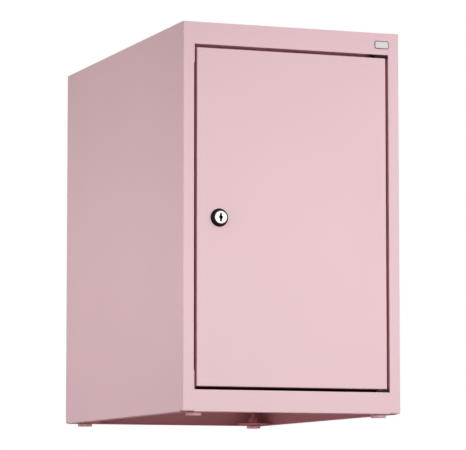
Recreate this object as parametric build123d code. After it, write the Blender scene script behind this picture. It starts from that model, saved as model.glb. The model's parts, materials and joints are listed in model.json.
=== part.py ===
from build123d import *
import os
from math import hypot

# Small steel locker cabinet: a case of folded sheets, one flush door on hidden pivots, a cam lock and
# four levelling feet. Millimetres, X to the right, Y to the back, Z up. The origin is on the floor,
# under the middle of the whole box, the lock's proud face included.

# Case
CASE_WIDTH = 300.0
CASE_DEPTH = 500.0
CASE_HEIGHT = 500.0
CASE_STANDING = 4.0  # underside of the case above the floor, with the feet screwed in

# Sheet metal
SHEET = 0.8
BEND = 0.3  # inner radius of every fold
LAP = 0.3  # clearance between sheets that lie side by side
SEAM = 0.05  # the rails' welded butt seams with the stiles

# Front frame and flanges
STILE_FACE = 15.0
TOP_RAIL_FACE = 29.0
BOTTOM_RAIL_FACE = 28.5
STOP_LIP = 9.0
TOP_TAB = 23.5  # the rails' tabs at the lock side, spot-welded to the stile inside the rebate
BOTTOM_TAB = 24.5
TAB_SETBACK = 1.0
TAB_DEPTH = 19.0
STILE_RAISE = 2.0  # the stiles end above the bottom rail's lower edge
REBATE_RAISE = 18.0  # the stiles' rebate ends above the foot brackets
REAR_FLANGE = 15.0
BASE_FLANGE = 11.0
TOP_FLANGE = 12.0
FLOOR_FLANGE = 12.0
SEAM_RUN = 40.0  # how far a folded edge runs into the sheet that it belongs to

# Door
DOOR_SIDE_GAP = 3.5
DOOR_TOP_GAP = 4.0
DOOR_BOTTOM_GAP = 3.75
DOOR_DEPTH = 18.0
DOOR_SHEET = 1.0
DOOR_LIP = 12.0
STIFFENER_WIDTH = 44.0
STIFFENER_RISE = 13.0
STIFFENER_FLANGE = 12.0
STIFFENER_END_GAP = 6.0
BUMPER_DIAMETER = 8.0
BUMPER_EDGE = 0.6
BUMPER_INSET = 95.0  # from the door's upper and lower edge

# Pivot hinge
HINGE_BACKSET = 7.0  # axis behind the door's face
SWING_CLEARANCE = 1.2  # between the door's front corner and the stile's rebate as it turns
SWEEP_CLEARANCE = 1.1  # between the door's rear corner and the stop lip as it turns
RUNNING_GAP = 0.3
PIN_DIAMETER = 6.0
PIN_FIT = 0.05  # radial clearance of pins and turning pieces
PIN_HEAD_DIAMETER = 10.0
PIN_HEAD_HEIGHT = 2.5
PIN_REACH = 11.0  # into the door's bush
PIN_POINT = 0.8
BLOCK_REACH = 8.0  # pivot block, from the axis towards the lock side
BLOCK_SETBACK = 1.2
BLOCK_DEPTH = 15.0
BLOCK_CORNER = 2.0
BUSH_REACH = 10.0  # door bush, from the axis towards the lock side
BUSH_HEIGHT = 14.0
FLANGE_HOLE_MARGIN = 1.0  # round the pin in the door's flange
SERVICE_SLOT_WIDTH = 9.0  # beside the upper block, to reach the pin
SERVICE_SLOT_DEPTH = 13.0

# Cam lock
LOCK_BACKSET = 30.5  # lock axis from the door's left edge
LOCK_DROP = 1.6  # lock axis below the door's middle
LOCK_PROUD = 6.5
BEZEL_DIAMETER = 17.2
BEZEL_HEIGHT = 1.8
BEZEL_EDGE = 0.5
BARREL_DIAMETER = 16.0
BARREL_FLATS = 14.4
BARREL_HOLE_MARGIN = 0.15
ROSETTE_DIAMETER = 23.3
ROSETTE_CROWN = 18.4
ROSETTE_RIM = 0.8
ROSETTE_RECESS = 0.9  # how far the rosette's crown stands round the bezel
LOCK_NUT_FLATS = 22.0
LOCK_NUT_HEIGHT = 5.0
PLUG_DIAMETER = 13.0
PLUG_RECESS = 0.3
KEYWAY_HEIGHT = 11.4
KEYWAY_WIDTH = 2.4
KEYWAY_EYE = 5.2
KEYWAY_DEPTH = 20.0
WAFER_COUNT = 5
WAFER_PITCH = 3.0
WAFER_THICKNESS = 0.9
WAFER_WIDTH = 7.4
WAFER_HEIGHT = 10.0
WAFER_WINDOW_WIDTH = 3.0
WAFER_WINDOW_HEIGHT = 6.6
WAFER_START = 2.0  # first tumbler behind the door's face
WAFER_FIT = 0.05
TAIL_SQUARE = 8.0
CAM_THICKNESS = 2.5
CAM_HUB_DIAMETER = 17.0
CAM_TIP_DIAMETER = 14.0
CAM_LIP_GAP = 0.5  # between the tongue and the back of the stop lip
CAM_END_GAP = 1.5  # between the tongue's tip and the rebate
CAM_SCREW_DIAMETER = 5.0
CAM_SCREW_LENGTH = 8.0
CAM_SCREW_FLATS = 9.0
CAM_SCREW_HEAD = 3.0

# Levelling feet
FOOT_INSET = 22.0  # foot axis from the case's outer faces
FOOT_DIAMETER = 20.0
FOOT_EDGE = 0.5
FOOT_SEAT = 1.2  # foot thickness below the stud
STUD_DIAMETER = 8.0
STUD_HEADROOM = 3.0  # between the stud and the floor panel
STUD_POINT = 1.0
BRACKET_SIZE = 42.0
BRACKET_CORNER = 18.0
BRACKET_THICKNESS = 2.5
BRACKET_HOLE_MARGIN = 0.5
WELD_NUT_FLATS = 13.0
WELD_NUT_HEIGHT = 6.5

# Planes of the case
HALF_WIDTH = CASE_WIDTH / 2
FRONT = -(CASE_DEPTH + LOCK_PROUD) / 2 + LOCK_PROUD
BACK = FRONT + CASE_DEPTH
BASE = CASE_STANDING
TOP = BASE + CASE_HEIGHT
INSIDE = HALF_WIDTH - SHEET - LAP  # half width of what fits between the side sheets
OPENING = HALF_WIDTH - STILE_FACE  # half width between the stiles
RAIL = OPENING - SEAM
FLOOR = BASE + BOTTOM_RAIL_FACE
HEAD = TOP - TOP_RAIL_FACE  # underside of the top rail
BACK_SKIN = BACK - SHEET - LAP  # rear face of the back panel
BACK_INNER = BACK_SKIN - SHEET
TAB_FACE = RAIL - SHEET  # show face of the end tabs, from the middle
FOLD = SHEET + BEND  # outer radius of a fold

# Door, hinge axis and rebate
DOOR_FOLD = DOOR_SHEET + BEND
DOOR_HALF = OPENING - DOOR_SIDE_GAP
DOOR_BOTTOM = FLOOR + DOOR_BOTTOM_GAP
DOOR_TOP = HEAD - DOOR_TOP_GAP
DOOR_MIDDLE = (DOOR_TOP + DOOR_BOTTOM) / 2
DOOR_SKIN = FRONT + DOOR_SHEET
DOOR_BACK = FRONT + DOOR_DEPTH

# The axis lies where the rounded front corner just clears the rebate on its way round.
_CORNER_SIDE = DOOR_SIDE_GAP + DOOR_FOLD
_CORNER_FRONT = HINGE_BACKSET - DOOR_FOLD
_CORNER_ROOM = SWING_CLEARANCE + DOOR_FOLD
HINGE_INSET = (_CORNER_SIDE**2 + _CORNER_FRONT**2 - _CORNER_ROOM**2) / (2 * (_CORNER_SIDE - _CORNER_ROOM))
HINGE_X = OPENING - HINGE_INSET
HINGE_Y = FRONT + HINGE_BACKSET
REAR_SWEEP = hypot(DOOR_HALF - HINGE_X, DOOR_DEPTH - HINGE_BACKSET)
REBATE = HINGE_BACKSET + REAR_SWEEP + SWEEP_CLEARANCE  # depth from the face to the stop lip
STOP = FRONT + REBATE

# Lock
LOCK_X = -DOOR_HALF + LOCK_BACKSET
LOCK_Z = DOOR_MIDDLE - LOCK_DROP
CAM_FRONT = REBATE + SHEET + CAM_LIP_GAP
CAM_BACK = CAM_FRONT + CAM_THICKNESS
CAM_LENGTH = LOCK_BACKSET + DOOR_SIDE_GAP - CAM_END_GAP
LOCK_FACE = Plane(origin=(LOCK_X, FRONT, LOCK_Z), x_dir=(1, 0, 0), z_dir=(0, -1, 0))
LOCK_SECTION = Plane(origin=(LOCK_X, FRONT, LOCK_Z), x_dir=(1, 0, 0), z_dir=(0, 0, 1))
LOCK_AXIS = Axis((LOCK_X, FRONT, LOCK_Z), (0, 1, 0))

# Feet
BRACKET_BASE = BASE + SHEET
BRACKET_TOP = BRACKET_BASE + BRACKET_THICKNESS
FOOT_TOP = BASE - RUNNING_GAP
STUD_TOP = FLOOR - SHEET - STUD_HEADROOM
CORNERS = {
    "front_left": (-1, -1),
    "front_right": (1, -1),
    "rear_left": (-1, 1),
    "rear_right": (1, 1),
}


def block(x_range, y_range, z_range):
    """Rectangular block between two limits along each axis."""
    sizes = [high - low for low, high in (x_range, y_range, z_range)]
    middle = [(high + low) / 2 for low, high in (x_range, y_range, z_range)]
    return Pos(*middle) * Box(*sizes)


def folded(path, plane, length):
    """Sheet folded at right angles: the path runs on its show face, with the metal on its left."""
    points = [Vector(*point) for point in path]
    runs = [(after - before).normalized() for before, after in zip(points, points[1:])]
    normals = [Vector(-run.Y, run.X) * SHEET for run in runs]
    turns = [before.cross(after).Z for before, after in zip(runs, runs[1:])]
    inner = [point + before + after for point, before, after in zip(points[1:], normals, normals[1:])]
    hidden = [points[0] + normals[0], *inner, points[-1] + normals[-1]]
    show_radii = [FOLD if turn > 0 else BEND for turn in turns]
    hidden_radii = [BEND if turn > 0 else FOLD for turn in turns]
    radii = [0, *show_radii, 0, 0, *reversed(hidden_radii), 0]
    outline = FilletPolyline(*points, *reversed(hidden), radius=radii, close=True)
    return extrude(plane * make_face(outline), amount=length)


def folded_up(path, low, high):
    """Sheet with its section in plan, standing from low to high."""
    return folded(path, Plane.XY.offset(low), high - low)


def folded_across(path, half_length):
    """Sheet with its section in side view, lying evenly across the case."""
    return folded(path, Plane.YZ.offset(-half_length), 2 * half_length)


def folded_back(path, front, back):
    """Sheet with its section in front view, running from front to back."""
    return folded(path, Plane.XZ.offset(-back), back - front)


def upright(diameter, low, high, x=0.0, y=0.0):
    """Round bar standing at x, y from low to high."""
    return Pos(x, y, (low + high) / 2) * Cylinder(diameter / 2, high - low)


def turned(profile):
    """Lock piece turned from a half section of (radius, depth behind the door's face) points."""
    return revolve(LOCK_SECTION * make_face(Polyline(*profile, close=True)), LOCK_AXIS)


def behind_face(sketch, front, back):
    """Lock piece with a constant section between two depths behind the door's face."""
    return extrude(LOCK_FACE.offset(-back) * sketch, amount=back - front)


def hexagon(across_flats):
    """Hexagon by its width across flats."""
    return RegularPolygon(across_flats / 2, 6, major_radius=False)


def side_panel():
    """Left side, folded from its rear flange round to the stop lip, with its base flange.

    Beside the rails the stile's edge is welded up square, so that the frame's corners are flush.
    """
    path = (
        (-HALF_WIDTH + REAR_FLANGE, BACK),
        (-HALF_WIDTH, BACK),
        (-HALF_WIDTH, FRONT),
        (-OPENING, FRONT),
        (-OPENING, STOP),
        (-OPENING + STOP_LIP, STOP),
    )
    panel = folded_up(path, BASE + STILE_RAISE, TOP)
    base_path = ((-HALF_WIDTH, BASE + SEAM_RUN), (-HALF_WIDTH, BASE), (-HALF_WIDTH + BASE_FLANGE, BASE))
    panel += folded_back(base_path, FRONT + BASE_FLANGE, BACK_SKIN - BASE_FLANGE - LAP)
    within = (-HALF_WIDTH + FOLD, -OPENING + STOP_LIP + LAP)
    behind_stile = (FRONT + FOLD, STOP + SHEET + LAP)
    panel -= block(within, behind_stile, (TOP - SHEET - LAP, TOP + LAP))
    panel -= block(within, behind_stile, (BASE, BASE + REBATE_RAISE))
    nose = (-OPENING - FOLD, -OPENING)
    for ends in ((BASE + STILE_RAISE, FLOOR), (HEAD, TOP)):
        panel += block(nose, (FRONT, FRONT + SHEET), ends)
    lip = (-OPENING, -OPENING + STOP_LIP + LAP)
    behind_lip = (STOP - BEND, STOP + SHEET + LAP)
    panel -= block(lip, behind_lip, (HEAD - LAP, TOP))
    panel -= block(lip, behind_lip, (BASE, FLOOR + LAP))
    return panel


def end_tab(rail_height, length):
    """Tab at the left end of a rail, folded along the stile; a negative length hangs down."""
    path = ((-TAB_FACE, rail_height + length), (-TAB_FACE, rail_height), (-TAB_FACE + SEAM_RUN, rail_height))
    if length > 0:
        path = path[::-1]
    return folded_back(path, FRONT + TAB_SETBACK, FRONT + TAB_SETBACK + TAB_DEPTH)


def top_panel():
    """Top sheet with the top rail, its rebate and stop lip, the end tab and the down flanges."""
    rail_path = (
        (FRONT + SEAM_RUN, TOP),
        (FRONT, TOP),
        (FRONT, HEAD),
        (STOP, HEAD),
        (STOP, HEAD - STOP_LIP),
    )
    panel = folded_across(rail_path, RAIL)
    for side in (-1, 1):
        lip_end = sorted((side * (OPENING - STOP_LIP - LAP), side * HALF_WIDTH))
        panel -= block(lip_end, (STOP - BEND, STOP + SHEET + LAP), (HEAD - STOP_LIP - LAP, HEAD + FOLD))
    sheet_path = (
        (INSIDE, TOP - TOP_FLANGE),
        (INSIDE, TOP),
        (-INSIDE, TOP),
        (-INSIDE, TOP - TOP_FLANGE),
    )
    panel += folded_back(sheet_path, FRONT + FOLD, BACK_INNER - LAP)
    rear_path = ((BACK, TOP - REAR_FLANGE), (BACK, TOP), (BACK - SEAM_RUN, TOP))
    panel += folded_across(rear_path, HALF_WIDTH - REAR_FLANGE - LAP)
    panel += end_tab(HEAD, -TOP_TAB)
    panel -= upright(PIN_DIAMETER + 2 * PIN_FIT, HEAD - LAP, HEAD + SHEET + LAP, HINGE_X, HINGE_Y)
    slot_end = HINGE_X - BLOCK_REACH
    slot_front = FRONT + BLOCK_SETBACK + FOLD
    panel -= block(
        (slot_end - SERVICE_SLOT_WIDTH, slot_end),
        (slot_front, slot_front + SERVICE_SLOT_DEPTH),
        (HEAD - LAP, HEAD + SHEET + LAP),
    )
    return panel


def floor_panel():
    """Raised floor with the bottom rail, its base flange, the end tab and the down flanges."""
    rail_path = (
        (FRONT + SEAM_RUN, FLOOR),
        (FRONT, FLOOR),
        (FRONT, BASE),
        (FRONT + BASE_FLANGE, BASE),
    )
    panel = folded_across(rail_path, RAIL)
    rear = BACK_INNER - LAP
    sheet_path = (
        (INSIDE, FLOOR - FLOOR_FLANGE),
        (INSIDE, FLOOR),
        (-INSIDE, FLOOR),
        (-INSIDE, FLOOR - FLOOR_FLANGE),
    )
    panel += folded_back(sheet_path, STOP + SHEET + LAP, rear - FOLD)
    rear_path = ((rear, FLOOR - FLOOR_FLANGE), (rear, FLOOR), (rear - SEAM_RUN, FLOOR))
    panel += folded_across(rear_path, INSIDE - FOLD)
    panel += end_tab(FLOOR, BOTTOM_TAB)
    panel -= upright(PIN_DIAMETER + 2 * PIN_FIT, FLOOR - SHEET - LAP, FLOOR + LAP, HINGE_X, HINGE_Y)
    return panel


def back_panel():
    """Back sheet between the side sheets, with its base flange."""
    path = ((BACK_SKIN - BASE_FLANGE, BASE), (BACK_SKIN, BASE), (BACK_SKIN, TOP - SHEET - LAP))
    return folded_across(path, INSIDE)


def door_panel():
    """Door pan with four flanges, a return lip all round and holes for the lock and the pins."""
    across = (-DOOR_HALF, DOOR_HALF)
    height = (DOOR_BOTTOM, DOOR_TOP)
    pan = block(across, (FRONT, DOOR_BACK), height)
    pan = fillet(pan.edges(), DOOR_FOLD)
    pan -= block(
        (-DOOR_HALF + DOOR_SHEET, DOOR_HALF - DOOR_SHEET),
        (DOOR_SKIN, DOOR_BACK - DOOR_SHEET),
        (DOOR_BOTTOM + DOOR_SHEET, DOOR_TOP - DOOR_SHEET),
    )
    pan -= block(
        (-DOOR_HALF + DOOR_LIP, DOOR_HALF - DOOR_LIP),
        (DOOR_BACK - DOOR_DEPTH / 2, DOOR_BACK + LAP),
        (DOOR_BOTTOM + DOOR_LIP, DOOR_TOP - DOOR_LIP),
    )
    hole = PIN_DIAMETER + 2 * FLANGE_HOLE_MARGIN
    pan -= upright(hole, DOOR_TOP - DOOR_SHEET - LAP, DOOR_TOP + LAP, HINGE_X, HINGE_Y)
    pan -= upright(hole, DOOR_BOTTOM - LAP, DOOR_BOTTOM + DOOR_SHEET + LAP, HINGE_X, HINGE_Y)
    pan -= behind_face(Circle(BARREL_DIAMETER / 2 + BARREL_HOLE_MARGIN), -LAP, DOOR_SHEET + LAP)
    return pan


def door_stiffener():
    """Upright hat profile bonded to the inside of the door's skin."""
    half = STIFFENER_WIDTH / 2
    crown = DOOR_SKIN + STIFFENER_RISE
    path = (
        (-half - STIFFENER_FLANGE, DOOR_SKIN),
        (-half, DOOR_SKIN),
        (-half, crown),
        (half, crown),
        (half, DOOR_SKIN),
        (half + STIFFENER_FLANGE, DOOR_SKIN),
    )
    end = DOOR_SHEET + STIFFENER_END_GAP
    return folded_up(path, DOOR_BOTTOM + end, DOOR_TOP - end)


def hinge_block(low, high):
    """Black pivot block that fills the gap between the frame and the door's corner."""
    across = (HINGE_X - BLOCK_REACH, OPENING - LAP)
    along = (FRONT + BLOCK_SETBACK, FRONT + BLOCK_SETBACK + BLOCK_DEPTH)
    plate = block(across, along, (low, high))
    plate = fillet(plate.edges().filter_by(Axis.Z), BLOCK_CORNER)
    return plate - upright(PIN_DIAMETER + 2 * PIN_FIT, low, high, HINGE_X, HINGE_Y)


def hinge_pin(seat, tip):
    """Headed pivot pin, its head against the far side of the seat and its point at the tip."""
    upwards = 1 if tip > seat else -1
    shank = upright(PIN_DIAMETER, *sorted((seat, tip)), HINGE_X, HINGE_Y)
    point = shank.edges().group_by(Axis.Z)[-1 if upwards > 0 else 0]
    head_end = seat - upwards * PIN_HEAD_HEIGHT
    head = upright(PIN_HEAD_DIAMETER, *sorted((seat, head_end)), HINGE_X, HINGE_Y)
    return chamfer(point, PIN_POINT) + head


def hinge_bush(low, high):
    """Plastic bush that fills the door's corner behind a flange and turns on the pin."""
    across = (HINGE_X - BUSH_REACH, DOOR_HALF - DOOR_SHEET - LAP)
    body = block(across, (DOOR_SKIN + LAP, DOOR_BACK - DOOR_SHEET - LAP), (low, high))
    body = fillet(body.edges().filter_by(Axis.Z), BLOCK_CORNER)
    return body - upright(PIN_DIAMETER + 2 * PIN_FIT, low, high, HINGE_X, HINGE_Y)


def door_bumpers():
    """Rubber buffers on the stop lip of the left stile."""
    thickness = STOP - DOOR_BACK - RUNNING_GAP
    buffers = []
    for height in (DOOR_BOTTOM + BUMPER_INSET, DOOR_TOP - BUMPER_INSET):
        seat = Plane(origin=(-OPENING + STOP_LIP / 2, STOP, height), z_dir=(0, -1, 0))
        disc = extrude(seat * Circle(BUMPER_DIAMETER / 2), amount=thickness)
        buffers.append(chamfer(disc.edges().group_by(Axis.Y)[0], BUMPER_EDGE))
    return Compound(children=buffers)


def lock_rosette():
    """Conical collar between the door's skin and the bezel."""
    seat = -LOCK_PROUD + BEZEL_HEIGHT
    crown = seat - ROSETTE_RECESS
    bore = BARREL_DIAMETER / 2 + PIN_FIT
    recess = BEZEL_DIAMETER / 2 + PIN_FIT
    return turned(
        (
            (bore, 0),
            (ROSETTE_DIAMETER / 2, 0),
            (ROSETTE_DIAMETER / 2, -ROSETTE_RIM),
            (ROSETTE_CROWN / 2, crown),
            (recess, crown),
            (recess, seat),
            (bore, seat),
        )
    )


def lock_housing():
    """Lock barrel with two flats and a bevelled bezel."""
    seat = -LOCK_PROUD + BEZEL_HEIGHT
    rear = CAM_FRONT - RUNNING_GAP
    bore = PLUG_DIAMETER / 2 + PIN_FIT
    housing = turned(
        (
            (bore, -LOCK_PROUD),
            (BEZEL_DIAMETER / 2 - BEZEL_EDGE, -LOCK_PROUD),
            (BEZEL_DIAMETER / 2, -LOCK_PROUD + BEZEL_EDGE),
            (BEZEL_DIAMETER / 2, seat),
            (BARREL_DIAMETER / 2, seat),
            (BARREL_DIAMETER / 2, rear),
            (bore, rear),
        )
    )
    flat = DOOR_SHEET + LOCK_NUT_HEIGHT
    cheek = Rectangle(BARREL_DIAMETER, BARREL_DIAMETER)
    for side in (-1, 1):
        outside = Pos(side * (BARREL_FLATS + BARREL_DIAMETER) / 2, 0) * cheek
        housing -= behind_face(outside, flat, rear + LAP)
    return housing


def lock_nut():
    """Hexagon nut that clamps the lock to the door's skin."""
    ring = hexagon(LOCK_NUT_FLATS) - Circle(BARREL_DIAMETER / 2 + PIN_FIT)
    return behind_face(ring, DOOR_SHEET, DOOR_SHEET + LOCK_NUT_HEIGHT)


def wafer_depths():
    """Front of each tumbler plate, as a depth behind the door's face."""
    return [WAFER_START + number * WAFER_PITCH for number in range(WAFER_COUNT)]


def lock_plug():
    """Plug with its keyway, the tumblers' slots, a square tail and the screw's hole."""
    front = -LOCK_PROUD + PLUG_RECESS
    plug = behind_face(Circle(PLUG_DIAMETER / 2), front, CAM_FRONT)
    plug += behind_face(Rectangle(TAIL_SQUARE, TAIL_SQUARE), CAM_FRONT, CAM_BACK)
    keyway = SlotOverall(KEYWAY_HEIGHT, KEYWAY_WIDTH, rotation=90) + Circle(KEYWAY_EYE / 2)
    plug -= behind_face(keyway, front - LAP, front + KEYWAY_DEPTH)
    slot = Rectangle(WAFER_WIDTH + 2 * WAFER_FIT, PLUG_DIAMETER)
    for depth in wafer_depths():
        plug -= behind_face(slot, depth - WAFER_FIT, depth + WAFER_THICKNESS + WAFER_FIT)
    hole = Circle(CAM_SCREW_DIAMETER / 2 + PIN_FIT)
    return plug - behind_face(hole, CAM_BACK - CAM_SCREW_LENGTH, CAM_BACK + LAP)


def lock_wafers():
    """Tumbler plates, drawn into the plug as with the key turned."""
    plate = Rectangle(WAFER_WIDTH, WAFER_HEIGHT) - Rectangle(WAFER_WINDOW_WIDTH, WAFER_WINDOW_HEIGHT)
    return Compound(children=[behind_face(plate, depth, depth + WAFER_THICKNESS) for depth in wafer_depths()])


def lock_cam():
    """Latch tongue, hanging down in its open place."""
    tip = Pos(0, CAM_TIP_DIAMETER / 2 - CAM_LENGTH) * Circle(CAM_TIP_DIAMETER / 2)
    tongue = make_hull((Circle(CAM_HUB_DIAMETER / 2) + tip).edges())
    tongue -= Rectangle(TAIL_SQUARE + 2 * PIN_FIT, TAIL_SQUARE + 2 * PIN_FIT)
    return behind_face(tongue, CAM_FRONT, CAM_BACK)


def cam_screw():
    """Hexagon screw that holds the tongue on the plug's tail."""
    shank = behind_face(Circle(CAM_SCREW_DIAMETER / 2), CAM_BACK - CAM_SCREW_LENGTH, CAM_BACK)
    return shank + behind_face(hexagon(CAM_SCREW_FLATS), CAM_BACK, CAM_BACK + CAM_SCREW_HEAD)


def foot_centre(corner):
    """Axis of the foot at one corner of the case."""
    side, end = CORNERS[corner]
    along = FRONT + FOOT_INSET if end < 0 else BACK - FOOT_INSET
    return side * (HALF_WIDTH - FOOT_INSET), along


def foot_bracket(corner):
    """Corner plate on the base flanges, cut off at its inner corner."""
    side, end = CORNERS[corner]
    outer_x = side * INSIDE
    outer_y = FRONT + SHEET + LAP if end < 0 else BACK_INNER - LAP
    inner_x = outer_x - side * BRACKET_SIZE
    inner_y = outer_y - end * BRACKET_SIZE
    outline = Polyline(
        (outer_x, outer_y),
        (inner_x, outer_y),
        (inner_x, inner_y + end * BRACKET_CORNER),
        (inner_x + side * BRACKET_CORNER, inner_y),
        (outer_x, inner_y),
        close=True,
    )
    plate = Plane.XY.offset(BRACKET_BASE) * make_face(outline)
    bracket = extrude(plate, amount=BRACKET_THICKNESS, dir=(0, 0, 1))
    hole = STUD_DIAMETER + 2 * BRACKET_HOLE_MARGIN
    return bracket - upright(hole, BRACKET_BASE - LAP, BRACKET_TOP + LAP, *foot_centre(corner))


def foot_weld_nut(corner):
    """Nut on top of the bracket, through which the stud is screwed."""
    ring = hexagon(WELD_NUT_FLATS) - Circle(STUD_DIAMETER / 2 + PIN_FIT)
    x, y = foot_centre(corner)
    return Pos(x, y, BRACKET_TOP) * extrude(ring, amount=WELD_NUT_HEIGHT)


def foot_pad(corner):
    """Round foot with a blind hole for its stud."""
    bore = STUD_DIAMETER / 2 + PIN_FIT
    rim = FOOT_DIAMETER / 2
    half_section = Polyline(
        (0, 0),
        (rim - FOOT_EDGE, 0),
        (rim, FOOT_EDGE),
        (rim, FOOT_TOP),
        (bore, FOOT_TOP),
        (bore, FOOT_SEAT),
        (0, FOOT_SEAT),
        close=True,
    )
    x, y = foot_centre(corner)
    return Pos(x, y, 0) * revolve(Plane.XZ * make_face(half_section), Axis.Z)


def foot_stud(corner):
    """Stud that stands in the foot and rises through the nut."""
    stud = upright(STUD_DIAMETER, FOOT_SEAT, STUD_TOP, *foot_centre(corner))
    return chamfer(stud.edges().group_by(Axis.Z)[-1], STUD_POINT)


def build():
    """Every piece of the cabinet by its node's name."""
    left = side_panel()
    pieces = {
        "left_side_panel": left,
        "right_side_panel": mirror(left, about=Plane.YZ),
        "top_panel": top_panel(),
        "floor_panel": floor_panel(),
        "back_panel": back_panel(),
        "foot_weld_nuts": Compound(children=[foot_weld_nut(corner) for corner in CORNERS]),
        "upper_hinge_block": hinge_block(DOOR_TOP + RUNNING_GAP, HEAD),
        "lower_hinge_block": hinge_block(FLOOR, DOOR_BOTTOM - RUNNING_GAP),
        "upper_hinge_pin": hinge_pin(HEAD + SHEET, DOOR_TOP - DOOR_SHEET - PIN_REACH),
        "lower_hinge_pin": hinge_pin(FLOOR - SHEET, DOOR_BOTTOM + DOOR_SHEET + PIN_REACH),
        "door_bumpers": door_bumpers(),
        "door_panel": door_panel(),
        "door_stiffener": door_stiffener(),
        "upper_hinge_bush": hinge_bush(DOOR_TOP - DOOR_SHEET - BUSH_HEIGHT, DOOR_TOP - DOOR_SHEET),
        "lower_hinge_bush": hinge_bush(DOOR_BOTTOM + DOOR_SHEET, DOOR_BOTTOM + DOOR_SHEET + BUSH_HEIGHT),
        "lock_rosette": lock_rosette(),
        "lock_housing": lock_housing(),
        "lock_nut": lock_nut(),
        "lock_plug": lock_plug(),
        "lock_wafers": lock_wafers(),
        "lock_cam": lock_cam(),
        "cam_screw": cam_screw(),
    }
    for corner in CORNERS:
        pieces[f"foot_bracket_{corner}"] = foot_bracket(corner)
        pieces[f"foot_pad_{corner}"] = foot_pad(corner)
        pieces[f"foot_stud_{corner}"] = foot_stud(corner)
    return pieces


os.makedirs("parts", exist_ok=True)
for name, piece in build().items():
    export_step(piece, f"parts/{name}.step")
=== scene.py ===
"""Looks of a small powder-coated locker cabinet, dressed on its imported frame. Metres, Z up."""

import json
import logging
import math
from collections.abc import Sequence
from dataclasses import dataclass
from enum import Enum

import bmesh
import bpy
from mathutils import Euler, Matrix, Vector


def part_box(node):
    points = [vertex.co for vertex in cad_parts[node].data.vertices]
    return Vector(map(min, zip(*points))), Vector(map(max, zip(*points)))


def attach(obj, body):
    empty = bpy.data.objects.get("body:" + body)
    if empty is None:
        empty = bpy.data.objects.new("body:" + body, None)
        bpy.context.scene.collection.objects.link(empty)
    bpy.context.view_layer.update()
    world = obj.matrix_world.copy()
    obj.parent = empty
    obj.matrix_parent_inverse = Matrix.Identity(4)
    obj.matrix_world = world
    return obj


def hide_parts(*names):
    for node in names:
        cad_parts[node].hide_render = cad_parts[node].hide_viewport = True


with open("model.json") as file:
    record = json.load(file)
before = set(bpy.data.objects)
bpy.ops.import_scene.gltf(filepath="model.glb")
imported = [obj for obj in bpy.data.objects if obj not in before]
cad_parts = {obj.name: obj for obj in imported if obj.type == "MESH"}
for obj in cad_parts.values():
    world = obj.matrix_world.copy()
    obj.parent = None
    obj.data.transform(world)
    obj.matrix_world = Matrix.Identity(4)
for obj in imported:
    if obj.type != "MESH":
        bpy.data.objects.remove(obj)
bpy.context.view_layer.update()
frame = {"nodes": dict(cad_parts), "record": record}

LOG = logging.getLogger("locker_cabinet")
MM = 0.001
FULL_TURN = 2 * math.pi
HALF_TURN = math.pi
QUARTER_TURN = math.pi / 2
SIXTH_TURN = math.radians(60)
SMOOTH_ANGLE = math.radians(32)
WHITE = (1.0, 1.0, 1.0, 1.0)

Colour = tuple[float, float, float]
Point2 = tuple[float, float]
Span = tuple[float, float]
Place = tuple[float, float, float]
Socket = bpy.types.NodeSocket


class Slot(Enum):
    """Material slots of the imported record."""

    CASE = "case_paint"
    DOOR = "door_paint"
    PLASTIC = "black_plastic"
    ZINC = "zinc_steel"
    BRIGHT = "bright_chrome"
    BRASS = "brass"
    RUBBER = "bumper_rubber"
    BRACKET = "bracket_steel"
    FOOT = "foot_paint"
    STUD = "stud_steel"


class Body(Enum):
    """Moving bodies that carry pieces made here."""

    CARCASS = "carcass"
    DOOR = "door"
    LOCK_CORE = "lock_core"


class Corner(Enum):
    """The four corners with a levelling foot."""

    FRONT_LEFT = "front_left"
    FRONT_RIGHT = "front_right"
    REAR_LEFT = "rear_left"
    REAR_RIGHT = "rear_right"


class Facing(Enum):
    """Directions that a turned or welded piece looks in."""

    FRONT = (0.0, -1.0, 0.0)
    BACK = (0.0, 1.0, 0.0)
    UP = (0.0, 0.0, 1.0)
    DOWN = (0.0, 0.0, -1.0)

    @property
    def turn(self) -> Euler:
        """Rotation that takes +Z to this direction."""
        turns = {"FRONT": QUARTER_TURN, "BACK": -QUARTER_TURN, "UP": 0.0, "DOWN": HALF_TURN}
        return Euler((turns[self.name], 0.0, 0.0))


class NodeMaker:
    """Adds nodes to one tree and wires them as they are made."""

    def __init__(self, tree: bpy.types.NodeTree) -> None:
        """Keeps the tree that the nodes go into."""
        self.tree = tree

    def add(self, kind: str, inputs: dict | None = None, **settings: object) -> bpy.types.Node:
        """Makes one node.

        Args:
            kind: The node's type name.
            inputs: Values or sockets by the input's name or number.
            **settings: Properties of the node itself.

        Returns:
            The new node.
        """
        node = self.tree.nodes.new(kind)
        for name, value in settings.items():
            setattr(node, name, value)
        for key, value in (inputs or {}).items():
            if isinstance(value, Socket):
                self.tree.links.new(value, node.inputs[key])
            else:
                node.inputs[key].default_value = value
        return node

    def maths(self, operation: str, first: object, second: object = 0.0, clamp: bool = False) -> Socket:
        """Makes one sum.

        Args:
            operation: Name of the operation.
            first: First number or socket.
            second: Second number or socket.
            clamp: Whether the result stays between 0 and 1.

        Returns:
            The result's socket.
        """
        node = self.add("ShaderNodeMath", {0: first, 1: second}, operation=operation, use_clamp=clamp)
        return node.outputs[0]


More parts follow.
